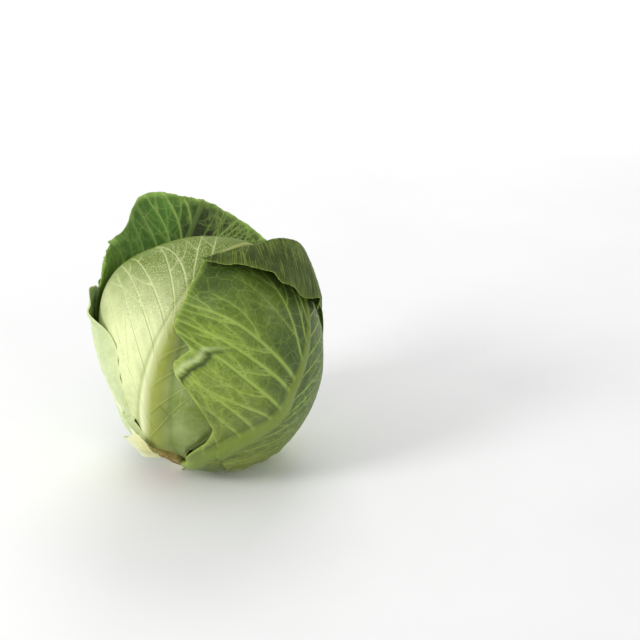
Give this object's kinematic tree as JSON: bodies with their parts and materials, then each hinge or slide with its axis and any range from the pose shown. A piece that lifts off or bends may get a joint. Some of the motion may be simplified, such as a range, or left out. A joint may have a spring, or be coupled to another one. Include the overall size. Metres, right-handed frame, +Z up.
{
  "type": "green cabbage",
  "caption": "Whole round leafy vegetable head lying on its side, with overlapping outer leaves, a folded leaf edge, thick midribs and a short cut stem.",
  "frame": {"origin": "middle of the flat spot the cabbage rests on", "axes": "+Z up; -Y towards the viewer of the picture; the stem end points down, to the left and towards -Y"},
  "size_m": [0.1631, 0.1916, 0.171],
  "materials": {
    "leaf_pale": "waxy pale green leaf",
    "leaf_mid": "waxy mid green leaf with yellow-green veins",
    "leaf_dark": "waxy dark green leaf with pale veins",
    "stem_cream": "smooth cream leaf base",
    "stem_cut": "dry brown cut stem"
  },
  "bodies": {
    "root": {"stem": "stem_cut", "head": "leaf_pale", "leaf_front": "leaf_pale", "leaf_rear": "leaf_pale", "leaf_right": "leaf_mid", "leaf_back": "leaf_dark", "leaf_left": "leaf_pale", "leaf_stub": "stem_cream"}
  },
  "joints": []
}
